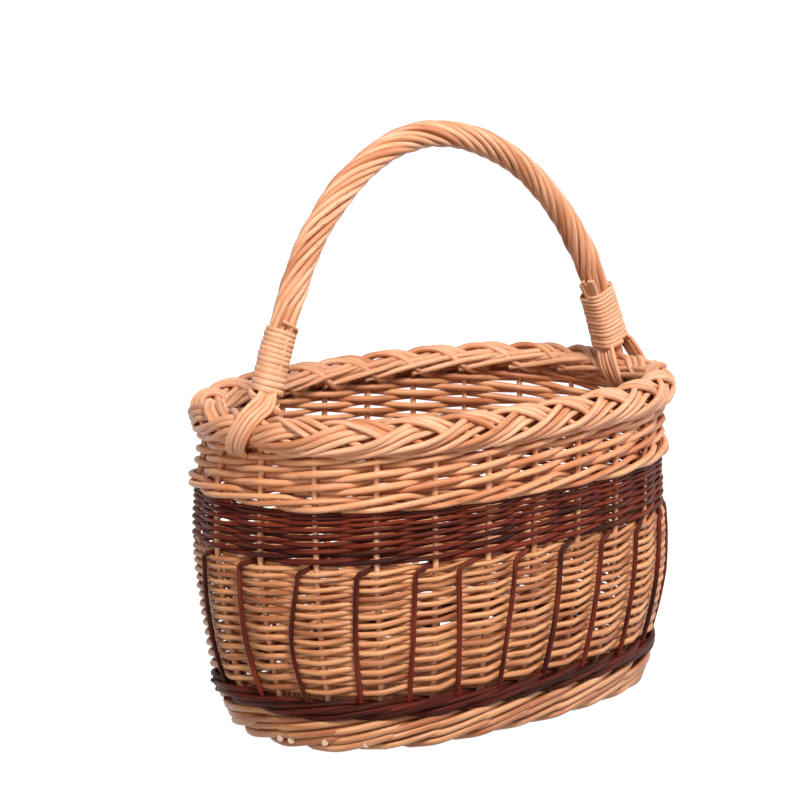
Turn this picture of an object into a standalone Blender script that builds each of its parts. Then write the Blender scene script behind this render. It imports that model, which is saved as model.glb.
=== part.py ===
"""Mushroom foraging basket: an oval willow basket with a fixed roped handle.

Metres, +Z up. The origin is the middle of the foot's underside, X runs along the oval and
Y across it. Every piece is its own object: upright stakes, rings of weaving that the stakes
stand in, dark rods outside the wall, the border, the handle and its two bindings.
"""
import functools
import math

import bmesh
import bpy
from mathutils import Vector

# Overall sizes
RIM_LENGTH = 0.402
RIM_WIDTH = 0.262
HANDLE_RISE = 0.196           # from the top of the border to the top of the handle
FLARE = 0.0275                # how far the wall leans out between the foot and the dark band
OVAL_EXPONENT = 2.48          # 2 is an ellipse, more is squarer
SEAT_GAP = 0.0003             # between pieces that touch
CREASE_DEGREES = 50           # edges sharper than this stay sharp

# Stakes and rods
STAKE_COUNT = 23
STAKE_PHASE_SHARE = 0.93      # where the first stake stands, in stake spacings from the +X end
STAKE_DIAMETER = 0.005
STAKE_SIDES = 5
STAKE_FOOT = 0.004            # height of the stakes' lower ends
WALL_ROD_DIAMETER = 0.0045
WALL_ROD_SHARE = 0.72         # how much of a rod the bands of weaving show past a stake
DARK_ROD_DIAMETER = 0.0038
DARK_ROD_TURN = 0.006         # length at the top that leans to the right
DARK_ROD_LEAN = 0.004
BAY_HALF_THICKNESS = 0.003    # the weave half way between two stakes

# Heights of the rings of weaving, from the ground up
FOOT_HEIGHT = 0.030
FOOT_BELLY_SHARE = 1 / 3      # share of its height at which the foot is thickest
LOWER_WALE_HEIGHT = 0.015
LIGHT_WALL_HEIGHT = 0.098
DARK_BAND_HEIGHT = 0.042
UPPER_WALE_HEIGHT = 0.012
TOP_BAND_HEIGHT = 0.027

# Half thicknesses of the thick rings
FOOT_HALF_THICKNESS = 0.0095
WALE_HALF_THICKNESS = 0.0092
DARK_BAND_TOP_SHARE = 0.8     # its thickness at its upper edge
UPPER_WALE_HALF_THICKNESS = 0.0112
LOBE = 0.0012                 # how far a wale stands out between two stakes
EDGE_SHARE = 0.86             # a wale's thickness at its upper and lower edge

# Border
BORDER_WIDTH = 0.025
BORDER_HEIGHT = 0.027
BORDER_RELIEF_SHARE = 0.11    # height of the plait's ribs over its middle surface
BORDER_SQUARENESS = 2.8
BORDER_SIDES = 12
BORDER_STEPS = 4              # sections for each stake spacing
ARCH_RUN_SHARE = 1.15         # stake spacings that an arch of the plait runs over the top
RISER_RUN_SHARE = 1.04        # stake spacings that a rod runs while it climbs the outside
ARCH_LOW_DEGREES = 40         # where the arches meet the climbing rods
RIB_LOW_DEGREES = -80         # the section is plain below this

# Base
BASE_THICKNESS = 0.012
CROSS_STICK_WIDTH = 0.0062
CROSS_STICK_COUNT = 5
LONG_STICK_WIDTH = 0.0046
LONG_STICK_COUNT = 3
CROSS_STICK_SPREAD_SHARE = 0.62
LONG_STICK_SPREAD_SHARE = 0.34
CUT_OVERRUN = 0.004           # how far a cutter runs past what it cuts

# Handle
HANDLE_DIAMETER = 0.0215
HANDLE_STRANDS = 8
STRAND_RELIEF = 0.0009
HANDLE_LAY = 0.140            # length of one turn of the strands
HANDLE_RINGS = 46
LEG_RINGS = 4
BOW_CENTRE_DROP = 0.100       # the bow's ellipses are centred this far below the border's top
BOW_LEFT_INSET = 0.0155       # how far the left leg stands inside the stakes' line
BOW_APEX_SHIFT = -0.0115      # the bow's highest point, along the basket
LEG_UPPER_DIAMETER = 0.0155   # inside a binding, at its top and at its foot
LEG_LOWER_DIAMETER = 0.0180
LEG_STEP = 0.004              # length over which the strands close in to the leg
TENON_DIAMETER = 0.010
TENON_INSET_SHARE = 0.36      # the left tenon's share of its leg's inset

# Bindings
BINDING_ROD_DIAMETER = 0.0034
BINDING_TURNS = 13
BINDING_PITCH = 0.0040
BINDING_POINTS = 13           # for each turn

# Tails of the handle's rods, over the outside of the border
TAIL_RODS = 5
TAIL_THICKNESS = 0.0034
TAIL_ROD_WIDTH = 0.0036
TAIL_STATIONS = 8
TAIL_UPPER_DEGREES = 36       # at the right, round the border's section from straight out
TAIL_LEFT_UPPER_DEGREES = 78
TAIL_LOWER_DEGREES = -58

# Colours
PEELED = (0.72, 0.44, 0.20)
PEELED_PALE = (0.78, 0.52, 0.27)
STAINED = (0.13, 0.035, 0.02)
WILLOW_ROUGHNESS = 0.45

# Sizes that follow from those above
STAKE_RADIUS = STAKE_DIAMETER / 2
WALL_HALF_THICKNESS = STAKE_RADIUS + SEAT_GAP + WALL_ROD_DIAMETER * WALL_ROD_SHARE
FOOT_TOP = FOOT_HEIGHT
LOWER_WALE_TOP = FOOT_TOP + LOWER_WALE_HEIGHT
LIGHT_WALL_TOP = LOWER_WALE_TOP + LIGHT_WALL_HEIGHT
DARK_BAND_TOP = LIGHT_WALL_TOP + DARK_BAND_HEIGHT
UPPER_WALE_TOP = DARK_BAND_TOP + UPPER_WALE_HEIGHT
TOP_BAND_TOP = UPPER_WALE_TOP + TOP_BAND_HEIGHT
BORDER_TOP = TOP_BAND_TOP + BORDER_HEIGHT
LINE_HALF_LENGTH = (RIM_LENGTH - BORDER_WIDTH) / 2
LINE_HALF_WIDTH = (RIM_WIDTH - BORDER_WIDTH) / 2
HANDLE_RADIUS = HANDLE_DIAMETER / 2
BOW_CENTRE = BORDER_TOP - BOW_CENTRE_DROP
BOW_HALF_HEIGHT = BORDER_TOP + HANDLE_RISE - HANDLE_RADIUS - BOW_CENTRE
BINDING_RADIUS = BINDING_ROD_DIAMETER / 2
BINDING_RISE = LEG_LOWER_DIAMETER / 2     # from the top of the border to the lowest turn
BINDING_LENGTH = BINDING_TURNS * BINDING_PITCH
FOOT_BELLY = FOOT_HEIGHT * FOOT_BELLY_SHARE
BASE_FLOOR = FOOT_BELLY
BASE_TOP = BASE_FLOOR + BASE_THICKNESS
OVAL_SAMPLES = 720


def power(value, exponent):
    """A power that keeps the sign."""
    return math.copysign(abs(value) ** exponent, value)


def oval_point(half_length, half_width, angle):
    """A point of the squared oval."""
    share = 2 / OVAL_EXPONENT
    return Vector((half_length * power(math.cos(angle), share),
                   half_width * power(math.sin(angle), share), 0))


@functools.lru_cache(maxsize=None)
def oval_lengths(half_length, half_width):
    """Points round the oval and the length run at each."""
    points = [oval_point(half_length, half_width, 2 * math.pi * i / OVAL_SAMPLES)
              for i in range(OVAL_SAMPLES + 1)]
    runs = [0]
    for before, after in zip(points, points[1:]):
        runs.append(runs[-1] + (after - before).length)
    return points, runs


def along_oval(half_length, half_width, share):
    """The point at a share of the way round, counted from +X towards +Y."""
    points, runs = oval_lengths(half_length, half_width)
    run = (share % 1) * runs[-1]
    low, high = 0, OVAL_SAMPLES
    while high - low > 1:
        middle = (low + high) // 2
        if runs[middle] <= run:
            low = middle
        else:
            high = middle
    blend = (run - runs[low]) / (runs[high] - runs[low])
    return points[low].lerp(points[high], blend)


def line_sizes(height):
    """Half length and half width of the stakes' line at a height."""
    rise = min(height / LIGHT_WALL_TOP, 1)
    inset = FLARE * (1 - rise) ** 2
    return LINE_HALF_LENGTH - inset, LINE_HALF_WIDTH - inset


def line_frame(height, share):
    """Place on the stakes' line, the way out of the basket and the way round it."""
    sizes = line_sizes(height)
    step = 1 / (4 * STAKE_COUNT)
    along = along_oval(*sizes, share + step) - along_oval(*sizes, share - step)
    along.normalize()
    outward = Vector((along.y, -along.x, 0))
    place = along_oval(*sizes, share)
    place.z = height
    return place, outward, along


def stake_share(number):
    """Where a stake stands, as a share of the way round."""
    return (number + STAKE_PHASE_SHARE) / STAKE_COUNT


def willow(name, colour):
    """A plain willow finish."""
    material = bpy.data.materials.new(name)
    material.use_nodes = True
    shader = material.node_tree.nodes["Principled BSDF"]
    shader.inputs["Base Color"].default_value = (*colour, 1)
    shader.inputs["Roughness"].default_value = WILLOW_ROUGHNESS
    shader.inputs["Metallic"].default_value = 0
    return material


def add_object(name, shape, colour, smooth=True):
    """Turn a bmesh into a named object with its own material."""
    bmesh.ops.recalc_face_normals(shape, faces=shape.faces)
    mesh = bpy.data.meshes.new(name)
    shape.to_mesh(mesh)
    shape.free()
    if smooth:
        mesh.shade_smooth()
        mesh.set_sharp_from_angle(angle=math.radians(CREASE_DEGREES))
    mesh.materials.append(willow(name + "_willow", colour))
    item = bpy.data.objects.new(name, mesh)
    bpy.context.collection.objects.link(item)
    return item


def bridge(shape, before, after):
    """Join two rings of vertices by quads."""
    count = len(before)
    for i in range(count):
        following = (i + 1) % count
        shape.faces.new((before[i], before[following], after[following], after[i]))


def tube(shape, rings):
    """A closed tube through rings of points, capped at both ends."""
    rows = [[shape.verts.new(point) for point in ring] for ring in rings]
    for before, after in zip(rows, rows[1:]):
        bridge(shape, before, after)
    shape.faces.new(rows[0])
    shape.faces.new(rows[-1])


def weave_ring(name, levels, outer, inner, colour):
    """A ring of weaving with a square hole for each stake.

    levels holds pairs of height and share of the thickness. outer and inner hold the half
    thickness at a stake and half way between two stakes.
    """
    hole = STAKE_RADIUS + SEAT_GAP
    corners = ((1, -1), (1, 1), (-1, 1), (-1, -1))
    shape = bmesh.new()
    rows = []
    for height, share in levels:
        outside, inside, holes = [], [], []
        for number in range(STAKE_COUNT):
            for half in (0, 1):
                place, outward, along = line_frame(height, stake_share(number + half / 2))
                outside.append(shape.verts.new(place + outward * outer[half] * share))
                inside.append(shape.verts.new(place - outward * inner[half] * share))
                if half == 0:
                    holes.append([shape.verts.new(place + hole * (outward * out + along * side))
                                  for out, side in corners])
        rows.append((outside, inside, holes))
    for before, after in zip(rows, rows[1:]):
        bridge(shape, before[0], after[0])
        bridge(shape, before[1], after[1])
        for lower, upper in zip(before[2], after[2]):
            bridge(shape, lower, upper)
    for outside, inside, holes in (rows[0], rows[-1]):
        for number in range(STAKE_COUNT):
            left, middle, right = 2 * number - 1, 2 * number, 2 * number + 1
            a, b, c, d = holes[number]
            shape.faces.new((outside[left], outside[middle], outside[right], b, a))
            shape.faces.new((outside[right], inside[right], c, b))
            shape.faces.new((inside[right], inside[middle], inside[left], d, c))
            shape.faces.new((inside[left], outside[left], a, d))
    return add_object(name, shape, colour)


def upright_ring(height, share, out, radius, sides, shift=0.0):
    """A level section of an upright rod, out from the stakes' line and shifted along it."""
    place, outward, along = line_frame(height, share)
    centre = place + outward * out + along * shift
    angles = [2 * math.pi * i / sides for i in range(sides)]
    return [centre + radius * (outward * math.cos(angle) + along * math.sin(angle))
            for angle in angles]


def wale_levels(bottom, top):
    """Heights of a rounded ring of waling, and its thickness at each."""
    return [(bottom, EDGE_SHARE), ((bottom + top) / 2, 1), (top, EDGE_SHARE)]


def make_foot():
    """Rows of thick waling that the basket stands on."""
    thick = FOOT_HALF_THICKNESS
    levels = [(0, EDGE_SHARE), (FOOT_BELLY, 1), (FOOT_TOP - SEAT_GAP, EDGE_SHARE)]
    weave_ring("foot_wale", levels, (thick, thick + LOBE), (thick, thick), PEELED_PALE)


def make_lower_wale():
    """Two rows of stained rods above the foot. They carry the dark rods."""
    thick = WALE_HALF_THICKNESS
    levels = wale_levels(FOOT_TOP, LOWER_WALE_TOP - SEAT_GAP)
    weave_ring("lower_wale", levels, (thick, thick + LOBE), (thick, thick), STAINED)


def light_wall_levels():
    """Heights of the light wall's sections."""
    middle = LOWER_WALE_TOP + LIGHT_WALL_HEIGHT / 2
    return [LOWER_WALE_TOP, middle, LIGHT_WALL_TOP - SEAT_GAP]


def make_light_wall():
    """French randing of peeled rods, thick at the stakes and thin between them."""
    levels = [(height, 1) for height in light_wall_levels()]
    half = (WALL_HALF_THICKNESS, BAY_HALF_THICKNESS)
    weave_ring("light_wall", levels, half, half, PEELED)


def make_dark_band():
    """Band of stained rods, thinner towards its top. The dark rods run into its lower edge."""
    levels = [(LIGHT_WALL_TOP, 1), (DARK_BAND_TOP - SEAT_GAP, DARK_BAND_TOP_SHARE)]
    half = (WALL_HALF_THICKNESS, BAY_HALF_THICKNESS)
    weave_ring("dark_band", levels, half, half, STAINED)


def make_upper_wale():
    """Thick three-rod wale between the dark band and the top band."""
    thick = UPPER_WALE_HALF_THICKNESS
    levels = wale_levels(DARK_BAND_TOP, UPPER_WALE_TOP - SEAT_GAP)
    inner = (WALL_HALF_THICKNESS, WALL_HALF_THICKNESS)
    weave_ring("upper_wale", levels, (thick, thick + LOBE), inner, PEELED_PALE)


def make_top_band():
    """Band of peeled rods under the border."""
    levels = [(UPPER_WALE_TOP, 1), (TOP_BAND_TOP - SEAT_GAP, 1)]
    half = (WALL_HALF_THICKNESS, BAY_HALF_THICKNESS)
    weave_ring("top_band", levels, half, half, PEELED)


def make_stakes():
    """Upright stakes, from inside the foot to the underside of the border."""
    middle = light_wall_levels()[1]
    heights = [STAKE_FOOT, FOOT_BELLY, FOOT_TOP, LOWER_WALE_TOP, middle, LIGHT_WALL_TOP,
               DARK_BAND_TOP, TOP_BAND_TOP - SEAT_GAP]
    for number in range(STAKE_COUNT):
        shape = bmesh.new()
        tube(shape, [upright_ring(height, stake_share(number), 0, STAKE_RADIUS, STAKE_SIDES)
                     for height in heights])
        add_object("stake_%02d" % (number + 1), shape, PEELED_PALE)


def make_dark_rods():
    """One stained rod in each bay, outside the light wall, leaning right at its top."""
    radius = DARK_ROD_DIAMETER / 2
    spacing = oval_lengths(*line_sizes(0))[1][-1] / STAKE_COUNT
    slope = (WALL_HALF_THICKNESS - BAY_HALF_THICKNESS) / (spacing / 2)
    out = BAY_HALF_THICKNESS + (radius + SEAT_GAP) * math.hypot(1, slope)
    out_at_top = out + DARK_ROD_LEAN * slope
    bottom, middle, _ = light_wall_levels()
    top = LIGHT_WALL_TOP - SEAT_GAP
    for number in range(STAKE_COUNT):
        share = stake_share(number + 0.5)
        rings = [upright_ring(height, share, out, radius, STAKE_SIDES)
                 for height in (bottom, middle, top - DARK_ROD_TURN)]
        rings.append(upright_ring(top, share, out_at_top, radius, STAKE_SIDES, DARK_ROD_LEAN))
        shape = bmesh.new()
        tube(shape, rings)
        add_object("dark_rod_%02d" % (number + 1), shape, STAINED)


def base_inset(height):
    """How far the base stays inside the stakes' line: the foot's half thickness and a gap."""
    share = (height - FOOT_BELLY) / (FOOT_TOP - SEAT_GAP - FOOT_BELLY)
    return FOOT_HALF_THICKNESS * (1 + (EDGE_SHARE - 1) * share) + SEAT_GAP


def box(shape, low, high):
    """A box between two corners."""
    corners = [[(low[0], high[0])[i], (low[1], high[1])[j], (low[2], high[2])[k]]
               for k in (0, 1) for j in (0, 1) for i in (0, 1)]
    verts = [shape.verts.new(corner) for corner in corners]
    for face in ((0, 1, 3, 2), (4, 5, 7, 6), (0, 1, 5, 4), (2, 3, 7, 6), (0, 2, 6, 4), (1, 3, 7, 5)):
        shape.faces.new([verts[i] for i in face])


def stick_boxes(growth, overrun):
    """Low and high corners of the base's sticks, grown by a clearance and an overrun."""
    half_length, half_width = [size - base_inset(BASE_FLOOR) for size in line_sizes(BASE_FLOOR)]
    middle = BASE_FLOOR + BASE_THICKNESS / 2
    boxes = []
    for count, width, spread, reach, other, lengthwise in (
            (CROSS_STICK_COUNT, CROSS_STICK_WIDTH, CROSS_STICK_SPREAD_SHARE * half_length,
             half_width, half_length, False),
            (LONG_STICK_COUNT, LONG_STICK_WIDTH, LONG_STICK_SPREAD_SHARE * half_width,
             half_length, half_width, True)):
        thick = width / 2 + growth
        for number in range(count):
            place = spread * (2 * number / (count - 1) - 1)
            edge = reach * (1 - (abs(place) + thick) ** OVAL_EXPONENT / other ** OVAL_EXPONENT)
            end = reach * (edge / reach) ** (1 / OVAL_EXPONENT) - STAKE_RADIUS + overrun
            low = (place - thick, -end, middle - thick)
            high = (place + thick, end, middle + thick)
            if lengthwise:
                low = (-end, place - thick, middle - thick)
                high = (end, place + thick, middle + thick)
            boxes.append((low, high))
    return boxes


def joined_boxes(name, boxes, colour):
    """Boxes that cross each other, joined into one object."""
    items = []
    for number, corners in enumerate(boxes):
        shape = bmesh.new()
        box(shape, *corners)
        items.append(add_object("%s_%d" % (name, number), shape, colour, smooth=False))
    first = items[0]
    first.name = name
    for other in items[1:]:
        union = first.modifiers.new("join " + other.name, "BOOLEAN")
        union.operation = "UNION"
        union.object = other
        other.hide_render = True
        other.display_type = "WIRE"
    return first


def make_base():
    """Oval woven base: long sticks through slit cross sticks, and the weave round them."""
    joined_boxes("base_sticks", stick_boxes(0, 0), PEELED_PALE)
    channels = joined_boxes("base_channels", stick_boxes(SEAT_GAP, STAKE_DIAMETER + CUT_OVERRUN),
                            PEELED)
    channels.hide_render = True
    channels.display_type = "WIRE"
    rings = []
    for height in (BASE_FLOOR, BASE_TOP):
        ring = []
        for half_step in range(2 * STAKE_COUNT):
            place, outward, _ = line_frame(height, stake_share(half_step / 2))
            ring.append(place - outward * base_inset(height))
        rings.append(ring)
    shape = bmesh.new()
    tube(shape, rings)
    weave = add_object("base_weave", shape, PEELED)
    cut = weave.modifiers.new("stick channels", "BOOLEAN")
    cut.operation = "DIFFERENCE"
    cut.object = channels


def border_reach(angle, relief=0.0):
    """How far the border reaches from its middle, out and up, at an angle of its section.

    The section is a squared oval with a flat top and bottom.
    """
    share = 2 / BORDER_SQUARENESS
    flat = power(math.sin(math.pi / 2 - math.pi / BORDER_SIDES), share)
    out = BORDER_WIDTH / 2 * power(math.cos(angle), share)
    up = BORDER_HEIGHT / 2 * max(-1, min(1, power(math.sin(angle), share) / flat))
    return out * (1 + relief), up * (1 + relief)


def plait_shift(angle):
    """How far along a rib of the plait lies at an angle of the section, in stake spacings."""
    if angle > math.radians(ARCH_LOW_DEGREES):
        return ARCH_RUN_SHARE * (1 - min(angle / math.pi, 1))
    return RISER_RUN_SHARE * angle / (math.pi / 2)


def make_border():
    """Plaited rim: ribs climb the outside and arch over the top. A hole takes each leg."""
    shape = bmesh.new()
    rows = []
    count = STAKE_COUNT * BORDER_STEPS
    for step in range(count):
        ring = []
        for side in range(BORDER_SIDES):
            angle = 2 * math.pi * (side + 0.5) / BORDER_SIDES - math.pi / 2
            ribbed = math.radians(RIB_LOW_DEGREES) < angle < math.pi
            wave = math.cos(2 * math.pi * step / BORDER_STEPS) - 1 if ribbed else 0
            position = step / BORDER_STEPS + (plait_shift(angle) if ribbed else 0)
            out, up = border_reach(angle, BORDER_RELIEF_SHARE * wave)
            place, outward, _ = line_frame(TOP_BAND_TOP + BORDER_HEIGHT / 2,
                                           stake_share(position))
            ring.append(shape.verts.new(place + outward * out + Vector((0, 0, up))))
        rows.append(ring)
    for step in range(count):
        bridge(shape, rows[step], rows[(step + 1) % count])
    border = add_object("border", shape, PEELED)
    for name, side in (("left", -1), ("right", 1)):
        cutter = make_bow_cutter("bow_hole_" + name, tenon_x(side))
        cut = border.modifiers.new(name + " bow hole", "BOOLEAN")
        cut.operation = "DIFFERENCE"
        cut.object = cutter


def make_bow_cutter(name, x):
    """Round cutter for the bow's end in the border."""
    shape = bmesh.new()
    rings = []
    for height in (TOP_BAND_TOP - CUT_OVERRUN, BORDER_TOP + CUT_OVERRUN):
        rings.append(handle_ring(Vector((x, 0, height)), Vector((1, 0, 0)),
                                 TENON_DIAMETER / 2 + SEAT_GAP))
    tube(shape, rings)
    cutter = add_object(name, shape, PEELED, smooth=False)
    cutter.hide_render = True
    cutter.display_type = "WIRE"
    return cutter


def foot_x(side):
    """Where a leg of the bow meets the top of the border. side is -1 left and 1 right."""
    return side * LINE_HALF_LENGTH + (BOW_LEFT_INSET if side < 0 else 0)


def tenon_x(side):
    """Middle of a leg's tenon, which stays inside the border."""
    return side * LINE_HALF_LENGTH + (BOW_LEFT_INSET * TENON_INSET_SHARE if side < 0 else 0)


def bow_half_length(side):
    """Half length of the ellipse of the bow's left or right half."""
    rise = (BORDER_TOP - BOW_CENTRE) / BOW_HALF_HEIGHT
    return abs(foot_x(side) - BOW_APEX_SHIFT) / math.sqrt(1 - rise ** 2)


def bow_point(angle):
    """A point of the bow. The angle runs from 0 at +X over the top to pi."""
    side = 1 if math.cos(angle) > 0 else -1
    return Vector((BOW_APEX_SHIFT + bow_half_length(side) * math.cos(angle), 0,
                   BOW_CENTRE + BOW_HALF_HEIGHT * math.sin(angle)))


def bow_foot_angle():
    """The angle at which the bow meets the top of the border."""
    return math.asin((BORDER_TOP - BOW_CENTRE) / BOW_HALF_HEIGHT)


@functools.lru_cache(maxsize=None)
def bow_runs():
    """Angles along the bow from its left foot to its right, and the length run at each."""
    low = bow_foot_angle()
    angles = [math.pi - low - (math.pi - 2 * low) * i / OVAL_SAMPLES
              for i in range(OVAL_SAMPLES + 1)]
    runs = [0]
    for before, after in zip(angles, angles[1:]):
        runs.append(runs[-1] + (bow_point(after) - bow_point(before)).length)
    return angles, runs


def bow_frame(run):
    """Place on the bow at a length from its left foot, and the way out of the bow."""
    angles, runs = bow_runs()
    index = min(max(int(run / runs[-1] * OVAL_SAMPLES), 0), OVAL_SAMPLES - 1)
    while index > 0 and runs[index] > run:
        index -= 1
    while index < OVAL_SAMPLES - 1 and runs[index + 1] < run:
        index += 1
    blend = (run - runs[index]) / (runs[index + 1] - runs[index])
    before, after = bow_point(angles[index]), bow_point(angles[index + 1])
    direction = (after - before).normalized()
    outside = Vector((-direction.z, 0, direction.x))
    return before.lerp(after, blend), outside


def binding_start(side):
    """Length along the bow, from a foot, to the middle of the lowest turn."""
    angle = bow_foot_angle()
    steep = math.atan2(BOW_HALF_HEIGHT * math.cos(angle), bow_half_length(side) * math.sin(angle))
    return BINDING_RISE / math.sin(steep)


def leg_radius(side, run):
    """Radius of the smooth leg inside a binding, at a length from the bow's foot."""
    share = (run - binding_start(side)) / BINDING_LENGTH
    share = min(max(share, 0), 1)
    return (LEG_LOWER_DIAMETER + (LEG_UPPER_DIAMETER - LEG_LOWER_DIAMETER) * share) / 2


def handle_ring(place, outside, radius, relief=0.0, turn=0.0):
    """A section of the handle, with a crest and a dip for each strand."""
    near = Vector((0, -1, 0))
    ring = []
    for i in range(2 * HANDLE_STRANDS):
        angle = math.pi * i / HANDLE_STRANDS + turn
        reach = radius - relief * (i % 2)
        ring.append(place + reach * (outside * math.cos(angle) + near * math.sin(angle)))
    return ring


def leg_rings(side, turn):
    """Sections of a foot of the handle, from the tenon's end up to the top of its binding."""
    total = bow_runs()[1][-1]
    level = Vector((side, 0, 0))
    rings = [handle_ring(Vector((tenon_x(side), 0, height)), level, TENON_DIAMETER / 2, 0, turn)
             for height in (TOP_BAND_TOP + SEAT_GAP, BORDER_TOP)]
    rings.append(handle_ring(Vector((foot_x(side), 0, BORDER_TOP + SEAT_GAP)), level,
                             leg_radius(side, 0), 0, turn))
    first = binding_start(side) - BINDING_RADIUS
    last = binding_start(side) + BINDING_LENGTH + BINDING_ROD_DIAMETER
    for step in range(LEG_RINGS + 1):
        run = first + (last - first) * step / LEG_RINGS
        place, outside = bow_frame(run if side < 0 else total - run)
        rings.append(handle_ring(place, outside, leg_radius(side, run), 0, turn))
    return rings


def make_handle():
    """Bow with rods laid round it like a rope, and a smooth leg and a tenon at each end."""
    left, right = (binding_start(side) + BINDING_LENGTH + BINDING_ROD_DIAMETER + LEG_STEP
                   for side in (-1, 1))
    rope_length = bow_runs()[1][-1] - left - right
    rings = leg_rings(-1, 0)
    for step in range(HANDLE_RINGS + 1):
        run = rope_length * step / HANDLE_RINGS
        place, outside = bow_frame(left + run)
        turn = 2 * math.pi * run / HANDLE_LAY
        rings.append(handle_ring(place, outside, HANDLE_RADIUS, STRAND_RELIEF, turn))
    rings += reversed(leg_rings(1, 2 * math.pi * rope_length / HANDLE_LAY))
    shape = bmesh.new()
    tube(shape, rings)
    add_object("handle", shape, PEELED)


def binding_points(side):
    """Centre line of a binding: a coil round the leg, with a straight length at each end."""
    total = bow_runs()[1][-1]
    sag = math.cos(math.pi / BINDING_POINTS)
    points = []
    for step in range(BINDING_TURNS * BINDING_POINTS + 1):
        turned = step / BINDING_POINTS
        run = binding_start(side) + BINDING_PITCH * turned
        place, outside = bow_frame(run if side < 0 else total - run)
        radius = (leg_radius(side, run) + SEAT_GAP + BINDING_RADIUS) / sag
        angle = 2 * math.pi * turned
        near = Vector((0, -1, 0))
        points.append(place + radius * (outside * math.sin(angle) + near * math.cos(angle)))
    first = (points[0] - points[1]).normalized() * BINDING_ROD_DIAMETER
    last = (points[-1] - points[-2]).normalized() * BINDING_ROD_DIAMETER
    return [points[0] + first] + points + [points[-1] + last]


def least_gap(points):
    """Least distance between two turns of a coil, less the rod's thickness."""
    apart = BINDING_POINTS // 2
    least = min((points[i] - points[j]).length
                for i in range(len(points)) for j in range(i + apart, len(points)))
    return least - BINDING_ROD_DIAMETER


def make_binding(name, side):
    """One unbroken rod wound round a foot of the handle."""
    points = binding_points(side)
    print(name, "least gap between turns: %.2f mm" % (least_gap(points) * 1000))
    curve = bpy.data.curves.new(name, "CURVE")
    curve.dimensions = "3D"
    curve.bevel_depth = BINDING_RADIUS
    curve.bevel_resolution = 1
    curve.use_fill_caps = True
    spline = curve.splines.new("POLY")
    spline.points.add(len(points) - 1)
    for target, point in zip(spline.points, points):
        target.co = (*point, 1)
    spline.use_smooth = True
    curve.materials.append(willow(name + "_willow", PEELED))
    item = bpy.data.objects.new(name, curve)
    bpy.context.collection.objects.link(item)


def tail_path(side):
    """Middle line of a bunch of tails, out from the stakes' line and up, from top to bottom.

    It starts beside the leg and lies on the border's skin, as far as that stands out.
    """
    lift = SEAT_GAP + TAIL_THICKNESS / 2
    foot = side * foot_x(side) - LINE_HALF_LENGTH
    start = foot + LEG_LOWER_DIAMETER / 2 + lift
    least = foot + BORDER_WIDTH / 2 + lift / 2
    upper = math.radians(TAIL_LEFT_UPPER_DEGREES if side < 0 else TAIL_UPPER_DEGREES)
    lower = math.radians(TAIL_LOWER_DEGREES)
    step = (upper - lower) / (TAIL_STATIONS - 1)
    path = [(start, BORDER_TOP + 2 * TAIL_THICKNESS), (start, BORDER_TOP + lift)]
    for station in range(TAIL_STATIONS):
        angle = upper - step * station
        before, after = border_reach(angle + step / 2), border_reach(angle - step / 2)
        skin = Vector((before[1] - after[1], after[0] - before[0])).normalized()
        out, up = border_reach(angle)
        out, up = out + skin.x * lift, up + skin.y * lift
        if out > least:
            path.append((max(out, start), TOP_BAND_TOP + BORDER_HEIGHT / 2 + up))
    return path


def make_tails(name, side):
    """Flat bunch of the handle's rod ends, over the outside of the border."""
    half_width = TAIL_RODS * TAIL_ROD_WIDTH / 2
    half = TAIL_THICKNESS / 2
    path = tail_path(side)
    rings = []
    for i, (out, up) in enumerate(path):
        before, after = path[max(i - 1, 0)], path[min(i + 1, len(path) - 1)]
        along = Vector((after[0] - before[0], 0, after[1] - before[1])).normalized()
        face = Vector((-along.z, 0, along.x))
        centre = Vector((LINE_HALF_LENGTH + out, 0, up))
        ring = [centre - face * half + Vector((0, y, 0)) for y in (-half_width, half_width)]
        for crest in range(2 * TAIL_RODS, -1, -1):
            y = half_width * (crest / TAIL_RODS - 1)
            reach = half if crest % 2 else half / 2
            ring.append(centre + face * reach + Vector((0, y, 0)))
        rings.append([Vector((side * point.x, point.y, point.z)) for point in ring])
    shape = bmesh.new()
    tube(shape, rings)
    add_object(name, shape, PEELED_PALE)


def build():
    """Make the whole basket, from the base up."""
    for item in list(bpy.data.objects):
        bpy.data.objects.remove(item)
    make_base()
    make_foot()
    make_lower_wale()
    make_light_wall()
    make_dark_band()
    make_upper_wale()
    make_top_band()
    make_stakes()
    make_dark_rods()
    make_border()
    make_handle()
    for name, side in (("left", -1), ("right", 1)):
        make_binding("binding_" + name, side)
        make_tails("tails_" + name, side)


build()
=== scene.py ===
"""Looks of a mushroom foraging basket: every rod of the weave as its own swept rod.

Metres, +Z up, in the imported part's frame. X runs along the oval and Y across it. A place in
the wall is given in stakes: position 0 is the first stake, 0.5 the middle of the bay after it,
and positions grow from the +X end towards +Y.
"""

import math

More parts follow.
